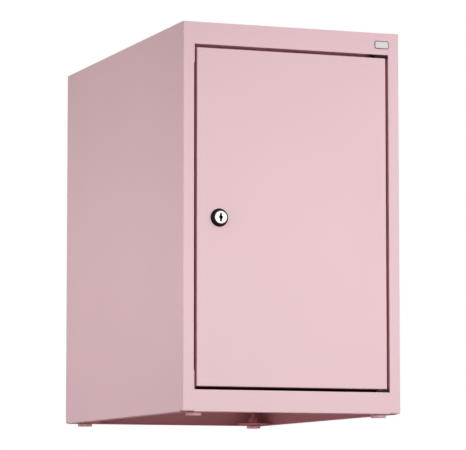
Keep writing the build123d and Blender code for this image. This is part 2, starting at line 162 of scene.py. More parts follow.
class Surface(NodeMaker):
    """Shader tree of one finish, around one Principled node."""

    noise_middle: Span = (0.3, 0.7)
    # Sockets of a Mix node share their names, so they are told apart by number.
    colour_mix = {"factor": 0, "under": 6, "over": 7, "result": 2}
    number_mix = {"factor": 0, "under": 2, "over": 3, "result": 0}

    def __init__(self, name: str, **constants: object) -> None:
        """Makes the material.

        Args:
            name: Name of the material.
            **constants: Principled inputs that are the same all over, with _ for a space.
        """
        self.material = bpy.data.materials.new(name)
        self.material.use_nodes = True
        super().__init__(self.material.node_tree)
        self.shader = self.tree.nodes["Principled BSDF"]
        for label, value in constants.items():
            self.shader.inputs[label.replace("_", " ")].default_value = value
        self.coordinates = self.add("ShaderNodeTexCoord").outputs["Object"]

    def moved(self, location: Place = (0, 0, 0), scale: Place = (1, 1, 1)) -> Socket:
        """Object coordinates centred on a place and stretched.

        Args:
            location: Place that becomes the centre.
            scale: Stretch along each axis.

        Returns:
            The mapped coordinates.
        """
        shift = tuple(-place * stretch for place, stretch in zip(location, scale))
        inputs = {"Vector": self.coordinates, "Location": shift, "Scale": scale}
        return self.add("ShaderNodeMapping", inputs).outputs["Vector"]

    def noise(self, cell: float, detail: float = 2.0, vector: Socket | None = None) -> Socket:
        """Clouds of one size.

        Args:
            cell: Size of a cloud in metres.
            detail: How many finer layers it holds.
            vector: Coordinates, the object's own if not given.

        Returns:
            The cloud's value from 0 to 1.
        """
        source = self.coordinates if vector is None else vector
        inputs = {"Vector": source, "Scale": 1 / cell, "Detail": detail}
        return self.add("ShaderNodeTexNoise", inputs).outputs["Fac"]

    def spread(self, value: Socket, low: float, high: float) -> Socket:
        """Stretches the middle of a noise over a range.

        Args:
            value: Noise from 0 to 1.
            low: Result at the dark end.
            high: Result at the bright end.

        Returns:
            The stretched value.
        """
        start, end = self.noise_middle
        inputs = {"Value": value, "From Min": start, "From Max": end, "To Min": low, "To Max": high}
        return self.add("ShaderNodeMapRange", inputs).outputs["Result"]

    def mixed_colour(self, value: Socket, under: object, over: object) -> None:
        """Colours the surface between two colours by a value.

        Args:
            value: How far the second colour covers the first, from 0 to 1.
            under: First colour or its socket.
            over: Second colour or its socket.
        """
        sockets = self.colour_mix
        inputs = {sockets["factor"]: value, sockets["under"]: under, sockets["over"]: over}
        mix = self.add("ShaderNodeMix", inputs, data_type="RGBA")
        self.tree.links.new(mix.outputs[sockets["result"]], self.shader.inputs["Base Color"])

    def tint(self, value: Socket, dark: Colour, light: Colour) -> None:
        """Colours the surface between two tones by a noise."""
        self.mixed_colour(self.spread(value, 0.0, 1.0), (*dark, 1.0), (*light, 1.0))

    def depth_behind(self, face: float, reach: float) -> Socket:
        """How far a point lies behind a front face.

        Args:
            face: Where the face lies along Y.
            reach: Depth at which the value is 1.

        Returns:
            The depth's value from 0 to 1.
        """
        depth = self.add("ShaderNodeSeparateXYZ", {0: self.coordinates}).outputs["Y"]
        inputs = {"Value": depth, "From Min": face, "From Max": face + reach}
        return self.add("ShaderNodeMapRange", inputs).outputs["Result"]

    def overlay(self, value: Socket, colour: Colour) -> None:
        """Covers the colour so far with another one by a value."""
        under = self.shader.inputs["Base Color"].links[0].from_socket
        self.mixed_colour(value, under, (*colour, 1.0))

    def cover(self, label: str, value: Socket, covered: float) -> None:
        """Fades one of the shader's numbers to another one by a value.

        Args:
            label: Name of the shader's input.
            value: How far it is covered, from 0 to 1.
            covered: The number where it is covered.
        """
        target = self.shader.inputs[label]
        bare = target.links[0].from_socket if target.links else target.default_value
        sockets = self.number_mix
        inputs = {sockets["factor"]: value, sockets["under"]: bare, sockets["over"]: covered}
        mix = self.add("ShaderNodeMix", inputs)
        self.tree.links.new(mix.outputs[sockets["result"]], target)

    def gloss(self, value: Socket, middle: float, spread: Span) -> None:
        """Varies the roughness about a middle value by a noise.

        Args:
            value: Noise from 0 to 1.
            middle: The roughness that it stays about.
            spread: What is added at the dark and at the bright end.
        """
        below, above = spread
        varied = self.spread(value, middle + below, middle + above)
        self.tree.links.new(varied, self.shader.inputs["Roughness"])

    def relief(self, *layers: tuple[Socket, float]) -> None:
        """Presses one or more heights into the surface.

        Args:
            *layers: Pairs of a height from 0 to 1 and its depth in metres.
        """
        normal = None
        for height, depth in layers:
            inputs = {"Height": height, "Distance": depth, "Strength": 1.0}
            if normal is not None:
                inputs["Normal"] = normal
            normal = self.add("ShaderNodeBump", inputs).outputs["Normal"]
        self.tree.links.new(normal, self.shader.inputs["Normal"])


def shaded(colour: Colour, factor: float) -> Colour:
    """The colour made lighter or darker by a factor."""
    return tuple(channel * factor for channel in colour)


@dataclass(frozen=True)
class PowderCoat:
    """Satin powder coat: an even tint, faint clouds in it and a fine orange-peel skin."""

    name: str
    colour: Colour
    roughness: float = 0.34
    gloss_spread: Span = (-0.03, 0.03)
    ior: float = 1.5
    cloud: float = 150 * MM
    cloud_share: float = 0.012
    peel: float = 2.4 * MM
    peel_depth: float = 0.004 * MM
    grain: float = 0.5 * MM
    grain_depth: float = 0.0008 * MM

    def make(self) -> bpy.types.Material:
        """Builds the material.

        Returns:
            The material.
        """
        surface = Surface(self.name, Metallic=0.0, IOR=self.ior)
        clouds = surface.noise(self.cloud, detail=3.0)
        darker = shaded(self.colour, 1 - self.cloud_share)
        surface.tint(clouds, darker, shaded(self.colour, 1 + self.cloud_share))
        peel = surface.noise(self.peel, detail=1.0)
        grain = surface.noise(self.grain, detail=2.0)
        surface.gloss(peel, self.roughness, self.gloss_spread)
        surface.relief((peel, self.peel_depth), (grain, self.grain_depth))
        return surface.material


@dataclass(frozen=True)
class MouldedPlastic:
    """Injection-moulded plastic with a spark-eroded texture."""

    name: str
    colour: Colour
    roughness: float = 0.46
    gloss_spread: Span = (-0.05, 0.07)
    ior: float = 1.46
    texture: float = 0.35 * MM
    texture_depth: float = 0.012 * MM
    flow: float = 9 * MM
    flow_share: float = 0.08

    def make(self) -> bpy.types.Material:
        """Builds the material.

        Returns:
            The material.
        """
        surface = Surface(self.name, Metallic=0.0, IOR=self.ior)
        flow = surface.noise(self.flow, detail=2.0)
        darker = shaded(self.colour, 1 - self.flow_share)
        surface.tint(flow, darker, shaded(self.colour, 1 + self.flow_share))
        texture = surface.noise(self.texture, detail=3.0)
        surface.gloss(texture, self.roughness, self.gloss_spread)
        surface.relief((texture, self.texture_depth))
        return surface.material


@dataclass(frozen=True)
class PlatedSteel:
    """Zinc-plated steel: bluish and yellowish patches under a dull shine."""

    name: str
    cool: Colour = (0.56, 0.58, 0.60)
    warm: Colour = (0.66, 0.63, 0.55)
    roughness: float = 0.33
    gloss_spread: Span = (-0.07, 0.1)
    patch: float = 5 * MM
    scuff: float = 0.6 * MM
    scuff_depth: float = 0.006 * MM

    def make(self) -> bpy.types.Material:
        """Builds the material.

        Returns:
            The material.
        """
        surface = Surface(self.name, Metallic=1.0)
        surface.tint(surface.noise(self.patch, detail=4.0), self.cool, self.warm)
        scuff = surface.noise(self.scuff, detail=4.0)
        surface.gloss(scuff, self.roughness, self.gloss_spread)
        surface.relief((scuff, self.scuff_depth))
        return surface.material


@dataclass(frozen=True)
class TurnedNickel:
    """Satin nickel plate over faint lathe rings round the lock's axis."""

    name: str
    centre: Place
    light: Colour = (0.56, 0.56, 0.55)
    dark: Colour = (0.49, 0.49, 0.48)
    roughness: float = 0.40
    gloss_spread: Span = (-0.04, 0.06)
    ring: float = 0.45 * MM
    ring_depth: float = 0.0016 * MM
    ring_wobble: float = 0.4
    smear: float = 3 * MM

    def surface(self) -> Surface:
        """Builds the shader tree.

        Returns:
            The tree.
        """
        surface = Surface(self.name, Metallic=1.0)
        inputs = {"Vector": surface.moved(self.centre), "Scale": 1 / (math.pi * self.ring)}
        inputs["Distortion"] = self.ring_wobble
        settings = {"wave_type": "RINGS", "rings_direction": "Y"}
        rings = surface.add("ShaderNodeTexWave", inputs, **settings).outputs["Fac"]
        smear = surface.noise(self.smear, detail=3.0)
        surface.tint(smear, self.dark, self.light)
        surface.gloss(smear, self.roughness, self.gloss_spread)
        surface.relief((rings, self.ring_depth))
        return surface

    def make(self) -> bpy.types.Material:
        """Builds the material."""
        return self.surface().material


@dataclass(frozen=True)
class KeyedNickel(TurnedNickel):
    """Nickel face of the plug, with painted shade: the keyway behind its face is near black, rough and
    non-metal.
    """

    face: float = 0.0
    reach: float = 0.12 * MM
    keyway_shade: Colour = (0.010, 0.009, 0.009)
    keyway_roughness: float = 0.9

    def surface(self) -> Surface:
        """Builds the shader tree.

        Returns:
            The tree.
        """
        surface = super().surface()
        depth = surface.depth_behind(self.face, self.reach)
        # Painted shade: behind the plug's face the keyway is coloured near black, and made rough and
        # non-metal.
        surface.overlay(depth, self.keyway_shade)
        surface.cover("Roughness", depth, self.keyway_roughness)
        surface.cover("Metallic", depth, 0.0)
        return surface


@dataclass(frozen=True)
class LinedMetal:
    """Bare metal with long fine lines, rolled or brushed."""

    name: str
    light: Colour
    dark: Colour
    roughness: float
    line: float
    line_depth: float
    stretch: Place
    gloss_spread: Span = (-0.06, 0.08)

    def make(self) -> bpy.types.Material:
        """Builds the material.

        Returns:
            The material.
        """
        surface = Surface(self.name, Metallic=1.0)
        drawn = surface.moved(scale=tuple(1 / length for length in self.stretch))
        lines = surface.noise(self.line, detail=2.0, vector=drawn)
        surface.tint(lines, self.dark, self.light)
        surface.gloss(lines, self.roughness, self.gloss_spread)
        surface.relief((lines, self.line_depth))
        return surface.material


@dataclass(frozen=True)
class StampedBrass(LinedMetal):
    """Plain brass strip with rolling lines along its height."""

    light: Colour = (0.72, 0.52, 0.23)
    dark: Colour = (0.52, 0.36, 0.14)
    roughness: float = 0.3
    line: float = 0.3 * MM
    line_depth: float = 0.003 * MM
    stretch: Place = (1, 1, 18)


@dataclass(frozen=True)
class BrushedAluminium(LinedMetal):
    """Anodised aluminium, brushed along the width of the piece."""

    roughness: float = 0.38
    line: float = 0.12 * MM
    line_depth: float = 0.004 * MM
    stretch: Place = (40, 1, 1)


@dataclass(frozen=True)
class SoftRubber:
    """Matt black rubber with a dusty bloom."""

    name: str
    colour: Colour = (0.022, 0.021, 0.02)
    bloom: Colour = (0.05, 0.048, 0.046)
    roughness: float = 0.72
    gloss_spread: Span = (-0.06, 0.1)
    ior: float = 1.5
    speck: float = 0.8 * MM
    speck_depth: float = 0.01 * MM

    def make(self) -> bpy.types.Material:
        """Builds the material.

        Returns:
            The material.
        """
        surface = Surface(self.name, Metallic=0.0, IOR=self.ior)
        speck = surface.noise(self.speck, detail=4.0)
        surface.tint(speck, self.colour, self.bloom)
        surface.gloss(speck, self.roughness, self.gloss_spread)
        surface.relief((speck, self.speck_depth))
        return surface.material


class Finishes:
    """Every material of the cabinet, by slot and by use."""

    pink: Colour = (0.80, 0.559, 0.592)
    # Painted light: the feet are a paler pink than the case paint, standing in for the light that falls on
    # them.
    lit_foot_pink: Colour = (0.96, 0.74, 0.77)
    # Painted shade: the corner brackets and foot studs in the base recess get a darker pink than the case
    # paint.
    recess_shade_pink: Colour = (0.74, 0.46, 0.49)
    black: Colour = (0.015, 0.011, 0.011)
    plate_tones: tuple[Colour, Colour] = ((0.50, 0.49, 0.50), (0.38, 0.37, 0.38))
    rim_tones: tuple[Colour, Colour] = ((0.26, 0.25, 0.26), (0.18, 0.18, 0.19))
    matt_roughness: float = 0.5
    black_roughness: float = 0.52
    black_ior: float = 1.4

    def __init__(self, lock_centre: Place) -> None:
        """Builds each finish once.

        Args:
            lock_centre: A point on the lock's axis, for its lathe rings.
        """
        moulded_black = MouldedPlastic("moulded_black", self.black, self.black_roughness, ior=self.black_ior)
        self.by_slot = {
            Slot.CASE: PowderCoat("powder_coat_case", self.pink).make(),
            Slot.DOOR: PowderCoat("powder_coat_door", self.pink).make(),
            Slot.BRACKET: PowderCoat("powder_coat_bracket", self.recess_shade_pink, self.matt_roughness).make(),
            Slot.PLASTIC: moulded_black.make(),
            Slot.FOOT: MouldedPlastic("moulded_pink", self.lit_foot_pink, self.matt_roughness).make(),
            Slot.ZINC: PlatedSteel("zinc_plate").make(),
            Slot.STUD: PowderCoat("powder_coat_stud", self.recess_shade_pink, self.matt_roughness).make(),
            Slot.BRIGHT: TurnedNickel("bright_nickel", lock_centre).make(),
            Slot.BRASS: StampedBrass("brass_strip").make(),
            Slot.RUBBER: SoftRubber("buffer_rubber").make(),
        }
        plug_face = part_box("lock_plug")[0].y
        self.by_node = {"lock_plug": KeyedNickel("keyed_nickel", lock_centre, face=plug_face).make()}
        self.plate = BrushedAluminium("plate_face", *self.plate_tones).make()
        self.plate_rim = BrushedAluminium("plate_rim", *self.rim_tones).make()

    def dress_frame(self) -> None:
        """Gives every node of the frame the finish of its slot."""
        for row in frame["record"]["subparts"]:
            mesh = frame["nodes"][row["node"]].data
            mesh.materials.clear()
            finish = self.by_slot[Slot(row["material_slot"])]
            mesh.materials.append(self.by_node.get(row["node"], finish))
            LOG.info("dressed %s in %s", row["node"], row["material_slot"])


def rounded(corners: Sequence[tuple[float, float, float]], steps: int = 5) -> list[Point2]:
    """Closed outline with arcs at its corners.

    Args:
        corners: (x, y, radius) of each corner, in order.
        steps: Straight pieces in each arc.

    Returns:
        The outline's points.
    """
    outline: list[Point2] = []
    count = len(corners)
    for index, (x, y, radius) in enumerate(corners):
        corner = Vector((x, y))
        if radius <= 0:
            outline.append((x, y))
            continue
        before = (Vector(corners[index - 1][:2]) - corner).normalized()
        after = (Vector(corners[(index + 1) % count][:2]) - corner).normalized()
        half = before.angle(after) / 2
        centre = corner + (before + after).normalized() * radius / math.sin(half)
        start = corner + before * radius / math.tan(half) - centre
        sweep = start.angle_signed(corner + after * radius / math.tan(half) - centre)
        for step in range(steps + 1):
            point = centre + Matrix.Rotation(-sweep * step / steps, 2) @ start
            outline.append((point.x, point.y))
    return outline


def turned(profile: Sequence[Point2], segments: int) -> bpy.types.Mesh:
    """Closed half section turned round the Z axis.

    Args:
        profile: (radius, height) points of the half section; radius 0 is a pole.
        segments: Facets round the axis.

    Returns:
        The new mesh.
    """
    shape = bmesh.new()
    angles = [FULL_TURN * number / segments for number in range(segments)]
    rings = []
    for radius, height in profile:
        if radius == 0:
            rings.append([shape.verts.new((0, 0, height))])
        else:
            places = ((radius * math.cos(angle), radius * math.sin(angle), height) for angle in angles)
            rings.append([shape.verts.new(place) for place in places])
    for lower, upper in zip(rings, [*rings[1:], rings[0]]):
        for number in range(segments):
            after = (number + 1) % segments
            if len(lower) > 1 and len(upper) > 1:
                shape.faces.new((lower[number], lower[after], upper[after], upper[number]))
            elif len(lower) > 1:
                shape.faces.new((lower[number], lower[after], upper[0]))
            elif len(upper) > 1:
                shape.faces.new((lower[0], upper[after], upper[number]))
    bmesh.ops.recalc_face_normals(shape, faces=shape.faces)
    mesh = bpy.data.meshes.new("turned")
    shape.to_mesh(mesh)
    shape.free()
    return mesh


def merged(name: str, meshes: Sequence[bpy.types.Mesh]) -> bpy.types.Mesh:
    """One mesh from several.

    Args:
        name: Name of the new mesh.
        meshes: Meshes to gather; they are removed.

    Returns:
        The new mesh.
    """
    shape = bmesh.new()
    for mesh in meshes:
        shape.from_mesh(mesh)
        bpy.data.meshes.remove(mesh)
    whole = bpy.data.meshes.new(name)
    shape.to_mesh(whole)
    shape.free()
    return whole


def placed(mesh: bpy.types.Mesh, centre: Sequence[float], facing: Facing) -> bpy.types.Mesh:
    """Turns a mesh that stands on +Z to a direction and moves it to its place."""
    mesh.transform(Matrix.Translation(centre) @ facing.turn.to_matrix().to_4x4())
    return mesh


def node_centre(node: str) -> Vector:
    """Middle of a node's box."""
    low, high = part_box(node)
    return (low + high) / 2


def piece_object(name: str, mesh: bpy.types.Mesh) -> bpy.types.Object:
    """New object in the scene with its place in its mesh.

    Args:
        name: Name of the object and its mesh.
        mesh: Mesh that it shows.

    Returns:
        The object.
    """
    mesh.name = name
    piece = bpy.data.objects.new(name, mesh)
    bpy.context.scene.collection.objects.link(piece)
    return piece


def seat(
    piece: bpy.types.Object, body: str, replaced: Sequence[str] = (), crisp: float = SMOOTH_ANGLE
) -> bpy.types.Object:
    """Smooths a finished piece and sets it on its body.

    Args:
        piece: The finished piece.
        body: Body that it moves with.
        replaced: Nodes that it stands for.
        crisp: Angle from which an edge stays sharp.

    Returns:
        The same piece.
    """
    piece.data.shade_smooth()
    piece.data.set_sharp_from_angle(angle=crisp)
    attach(piece, body)
    if replaced:
        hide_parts(*replaced)
    LOG.info("made %s on %s with %d faces", piece.name, body, len(piece.data.polygons))
    return piece


class FormTree(NodeMaker):
    """Geometry node tree with named sizes, ending in Realize Instances and Set Material."""

    finish_label = "Finish"

    def __init__(self, name: str, sizes: dict[str, str]) -> None:
        """Makes the tree's inputs.

        Args:
            name: Name of the tree.
            sizes: Kind of each size, by its label.
        """
        super().__init__(bpy.data.node_groups.new(name, "GeometryNodeTree"))
        interface = self.tree.interface
        interface.new_socket("Geometry", in_out="INPUT", socket_type="NodeSocketGeometry")
        interface.new_socket("Geometry", in_out="OUTPUT", socket_type="NodeSocketGeometry")
        labels = {**sizes, self.finish_label: "Material"}
        self.identifiers = {}
        for label, kind in labels.items():
            socket = interface.new_socket(label, in_out="INPUT", socket_type=f"NodeSocket{kind}")
            self.identifiers[label] = socket.identifier
        self.entry = self.add("NodeGroupInput")
        self.blank = self.entry.outputs["Geometry"]
        self.grow()

    def size(self, label: str) -> Socket:
        """Socket of one named size."""
        return self.entry.outputs[label]

    def grow(self) -> None:
        """Adds the nodes between the inputs and the end of the tree."""
        raise NotImplementedError

    def polar(self) -> tuple[Socket, Socket, Socket]:
        """Place of each point about the Z axis.

        Returns:
            Its radius, angle and height.
        """
        place = self.add("ShaderNodeSeparateXYZ", {0: self.add("GeometryNodeInputPosition").outputs[0]})
        x, y, height = place.outputs
        squares = self.maths("ADD", self.maths("MULTIPLY", x, x), self.maths("MULTIPLY", y, y))
        return self.maths("SQRT", squares), self.maths("ARCTAN2", y, x), height

    def close(self, geometry: Socket) -> None:
        """Ends the tree.

        Args:
            geometry: What the tree has made.
        """
        real = self.add("GeometryNodeRealizeInstances", {"Geometry": geometry}).outputs[0]
        inputs = {"Geometry": real, "Material": self.size(self.finish_label)}
        dressed = self.add("GeometryNodeSetMaterial", inputs).outputs[0]
        self.add("NodeGroupOutput", {"Geometry": dressed})

    def shape(
        self, name: str, blank: bpy.types.Mesh, finish: bpy.types.Material, sizes: dict[str, object]
    ) -> bpy.types.Object:
        """Runs the tree on a blank and keeps the result as a plain mesh.

        Args:
            name: Name of the piece.
            blank: Mesh that the tree starts from.
            finish: Material of the piece.
            sizes: Value of each named size.

        Returns:
            The piece, with no modifier left on it.
        """
        piece = piece_object(name, blank)
        modifier = piece.modifiers.new(name, "NODES")
        modifier.node_group = self.tree
        for label, value in {**sizes, self.finish_label: finish}.items():
            modifier[self.identifiers[label]] = value
        evaluated = piece.evaluated_get(bpy.context.evaluated_depsgraph_get())
        mesh = bpy.data.meshes.new_from_object(evaluated)
        piece.modifiers.remove(modifier)
        piece.data = mesh
        bpy.data.meshes.remove(blank)
        mesh.name = name
        return piece


class ThreadTree(FormTree):
    """Cuts a V thread, and two flats where they are wanted, into a blank turned round Z."""

    skin_share = 0.99

    def __init__(self) -> None:
        """Names the tree's sizes."""
        labels = ("Pitch", "Depth", "Major Radius", "Start", "End", "Half Flats")
        super().__init__("cut_thread", {label: "Float" for label in labels})

    def grow(self) -> None:
        """Pushes the outer skin inwards along a helix, fading at both ends."""
        radius, angle, height = self.polar()
        pitch = self.size("Pitch")
        turns = self.maths("DIVIDE", angle, FULL_TURN)
        phase = self.maths("SUBTRACT", self.maths("DIVIDE", height, pitch), turns)
        saw = self.maths("SUBTRACT", self.maths("MULTIPLY", self.maths("FRACT", phase), 2.0), 1.0)
        fade_in = self.maths("DIVIDE", self.maths("SUBTRACT", height, self.size("Start")), pitch, clamp=True)
        fade_out = self.maths("DIVIDE", self.maths("SUBTRACT", self.size("End"), height), pitch, clamp=True)
        fade = self.maths("MINIMUM", fade_in, fade_out)
        cut = self.maths("MULTIPLY", self.maths("ABSOLUTE", saw), fade)
        inner = self.maths("SUBTRACT", radius, self.maths("MULTIPLY", cut, self.size("Depth")))
        across = self.maths("MULTIPLY", inner, self.maths("COSINE", angle))
        along = self.maths("MULTIPLY", inner, self.maths("SINE", angle))
        # Past the thread's ends the flats stand a metre further out, where they cut nothing.
        further = self.maths("SUBTRACT", 1.0, self.maths("GREATER_THAN", fade, 0.0))
        limit = self.maths("ADD", self.size("Half Flats"), further)
        right = self.maths("MINIMUM", across, limit)
        flat = self.maths("MAXIMUM", right, self.maths("MULTIPLY", limit, -1.0))
        target = self.add("ShaderNodeCombineXYZ", {0: flat, 1: along, 2: height}).outputs[0]
        least = self.maths("MULTIPLY", self.size("Major Radius"), self.skin_share)
        skin = self.maths("GREATER_THAN", radius, least)
        inputs = {"Geometry": self.blank, "Selection": skin, "Position": target}
        self.close(self.add("GeometryNodeSetPosition", inputs).outputs[0])


class HexagonTree(FormTree):
    """Cuts a turned blank to a hexagon, which leaves the chamfered corners of a nut or a bolt head."""

    def __init__(self) -> None:
        """Names the tree's sizes."""
        labels = ("Across Flats", "Base", "Shoulder", "Slope")
        super().__init__("cut_hexagon", {label: "Float" for label in labels})

    def grow(self) -> None:
        """Draws points above the base in to the flats, and the shoulder's up the chamfer's cone."""
        radius, angle, height = self.polar()
        step = self.maths("FLOORED_MODULO", angle, SIXTH_TURN)
        lean = self.maths("COSINE", self.maths("SUBTRACT", step, SIXTH_TURN / 2))
        flat = self.maths("DIVIDE", self.maths("MULTIPLY", self.size("Across Flats"), 0.5), lean)
        inner = self.maths("MINIMUM", radius, flat)
        across = self.maths("MULTIPLY", inner, self.maths("COSINE", angle))
        along = self.maths("MULTIPLY", inner, self.maths("SINE", angle))
        drawn_in = self.maths("MULTIPLY", self.maths("SUBTRACT", radius, inner), self.size("Slope"))
        shoulder = self.maths("GREATER_THAN", height, self.size("Shoulder"))
        raised = self.maths("ADD", height, self.maths("MULTIPLY", drawn_in, shoulder))
        target = self.add("ShaderNodeCombineXYZ", {0: across, 1: along, 2: raised}).outputs[0]
        head = self.maths("GREATER_THAN", height, self.size("Base"))
        inputs = {"Geometry": self.blank, "Selection": head, "Position": target}
        self.close(self.add("GeometryNodeSetPosition", inputs).outputs[0])


class WeldTree(FormTree):
    """Sets the shallow ring of a spot weld on every point, looking the way that the point says."""

    facing_label = "facing"
    ring_points = 20
    rim_points = 6

    def __init__(self) -> None:
        """Names the tree's sizes."""
        super().__init__("spot_welds", {"Ring Radius": "Float", "Rim Width": "Float", "Flatness": "Vector"})

    def grow(self) -> None:
        """Sweeps one flattened rim and sets it on the points."""
        circles = {}
        for label, points in (("Ring Radius", self.ring_points), ("Rim Width", self.rim_points)):
            inputs = {"Resolution": points, "Radius": self.size(label)}
            circles[label] = self.add("GeometryNodeCurvePrimitiveCircle", inputs).outputs[0]
        inputs = {"Curve": circles["Ring Radius"], "Profile Curve": circles["Rim Width"]}
        swept = self.add("GeometryNodeCurveToMesh", inputs).outputs[0]
        facing = self.add("GeometryNodeInputNamedAttribute", data_type="FLOAT_VECTOR")
        facing.inputs["Name"].default_value = self.facing_label
        turn = self.add("FunctionNodeAlignRotationToVector", {"Vector": facing.outputs[0]}, axis="Z")
        inputs = {
            "Points": self.blank,
            "Instance": swept,
            "Rotation": turn.outputs[0],
            "Scale": self.size("Flatness"),
        }
        self.close(self.add("GeometryNodeInstanceOnPoints", inputs).outputs[0])


@dataclass
class Forms:
    """The geometry node trees, made once."""

    thread: ThreadTree
    hexagon: HexagonTree
    weld: WeldTree


@dataclass
class LabelPlate:
    """Blank rounded plate at the right end of the top rail."""

    finishes: Finishes
    width: float = 20 * MM
    height: float = 10.5 * MM
    thickness: float = 0.8 * MM
    corner: float = 2.4 * MM
    rim: float = 0.9 * MM
    dish: float = 0.2 * MM
    edge: float = 0.25 * MM
    from_right: float = 24 * MM
    from_top: float = 15.7 * MM
    arc_steps: int = 8

    def outline(self, inset: float) -> list[Point2]:
        """Rounded rectangle drawn in from the plate's edge.

        Args:
            inset: Distance from the edge.

        Returns:
            Its points.
        """
        half_x = self.width / 2 - inset
        half_z = self.height / 2 - inset
        radius = self.corner - inset
        signs = ((-1, -1), (1, -1), (1, 1), (-1, 1))
        corners = [(sign_x * half_x, sign_z * half_z, radius) for sign_x, sign_z in signs]
        return rounded(corners, self.arc_steps)

    def build(self) -> bpy.types.Object:
        """Steps the outline from the rail's face up over the rim and down to the dished face.

        Returns:
            The plate.
        """
        low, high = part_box("top_panel")
        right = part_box("right_side_panel")[1].x
        centre = Vector((right - self.from_right, low.y, high.z - self.from_top))
        levels = (
            (0.0, 0.0),
            (0.0, self.thickness - self.edge),
            (self.edge, self.thickness),
            (self.rim, self.thickness),
            (self.rim + self.edge, self.thickness - self.dish),
        )
        shape = bmesh.new()
        loops = []
        for inset, rise in levels:
            places = [centre + Vector((x, -rise, z)) for x, z in self.outline(inset)]
            loops.append([shape.verts.new(place) for place in places])
        face_slot, rim_slot = 0, 1
        rim_levels = len(levels) - 2
        for level, (lower, upper) in enumerate(zip(loops, loops[1:])):
            for number in range(len(lower)):
                after = (number + 1) % len(lower)
                face = shape.faces.new((lower[number], lower[after], upper[after], upper[number]))
                face.material_index = rim_slot if level < rim_levels else face_slot
        shape.faces.new(loops[-1]).material_index = face_slot
        shape.faces.new(list(reversed(loops[0]))).material_index = rim_slot
        bmesh.ops.recalc_face_normals(shape, faces=shape.faces)
        mesh = bpy.data.meshes.new("label_plate")
        shape.to_mesh(mesh)
        shape.free()
        mesh.materials.append(self.finishes.plate)
        mesh.materials.append(self.finishes.plate_rim)
        return seat(piece_object("label_plate", mesh), Body.CARCASS.value)


@dataclass
class SpotWelds:
    """Painted-over weld marks on the rear flanges, the base flanges and the door's stiffener."""

    finishes: Finishes
    forms: Forms
    ring_radius: float = 2.6 * MM
    rim_width: float = 0.35 * MM
    flatness: float = 0.3
    pitch: float = 74 * MM
    end_margin: float = 26 * MM
    flange_middle: float = 7.5 * MM
    base_flange_middle: float = 5.5 * MM
    stiffener_flange_middle: float = 6.5 * MM
    stiffener_sheet: float = 0.8 * MM

    def stations(self, low: float, high: float) -> list[float]:
        """Evenly spaced places along an edge.

        Args:
            low: Start of the edge.
            high: End of the edge.

        Returns:
            The places, with a margin at both ends.
        """
        run = high - low - 2 * self.end_margin
        count = max(2, round(run / self.pitch) + 1)
        return [low + self.end_margin + run * number / (count - 1) for number in range(count)]

    def marks(self, name: str, body: Body, slot: Slot, places: Sequence[tuple[Place, Facing]]) -> None:
        """Makes the marks of one body.

        Args:
            name: Name of the piece.
            body: Body that it rides on.
            slot: Paint over the marks.
            places: Centre and direction of each mark.
        """
        points = bpy.data.meshes.new(name)
        points.from_pydata([place for place, _ in places], [], [])
        facing = points.attributes.new(WeldTree.facing_label, "FLOAT_VECTOR", "POINT")
        for row, (_, direction) in zip(facing.data, places):
            row.vector = direction.value
        sizes = {
            "Ring Radius": self.ring_radius,
            "Rim Width": self.rim_width,
            "Flatness": (1.0, 1.0, self.flatness),
        }
        piece = self.forms.weld.shape(name, points, self.finishes.by_slot[slot], sizes)
        seat(piece, body.value)

    def build(self) -> None:
        """Places the marks of the carcass and of the door."""
        case_low, case_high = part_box("left_side_panel")
        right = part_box("right_side_panel")[1].x
        carcass = []
        for edge, inward in ((case_low.x, 1), (right, -1)):
            for height in self.stations(case_low.z, case_high.z):
                place = (edge + inward * self.flange_middle, case_high.y, height)
                carcass.append((place, Facing.BACK))
            for along in self.stations(case_low.y + 2 * self.end_margin, case_high.y - 2 * self.end_margin):
                place = (edge + inward * self.base_flange_middle, along, case_low.z)
                carcass.append((place, Facing.DOWN))
        for across in self.stations(case_low.x + self.end_margin, right - self.end_margin):
            carcass.append(((across, case_high.y, case_high.z - self.flange_middle), Facing.BACK))
        self.marks("case_weld_marks", Body.CARCASS, Slot.CASE, carcass)
        low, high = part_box("door_stiffener")
        rear = low.y + self.stiffener_sheet
        columns = (low.x + self.stiffener_flange_middle, high.x - self.stiffener_flange_middle)
        heights = self.stations(low.z, high.z)
        door = [((across, rear, height), Facing.BACK) for across in columns for height in heights]
        self.marks("stiffener_weld_marks", Body.DOOR, Slot.DOOR, door)


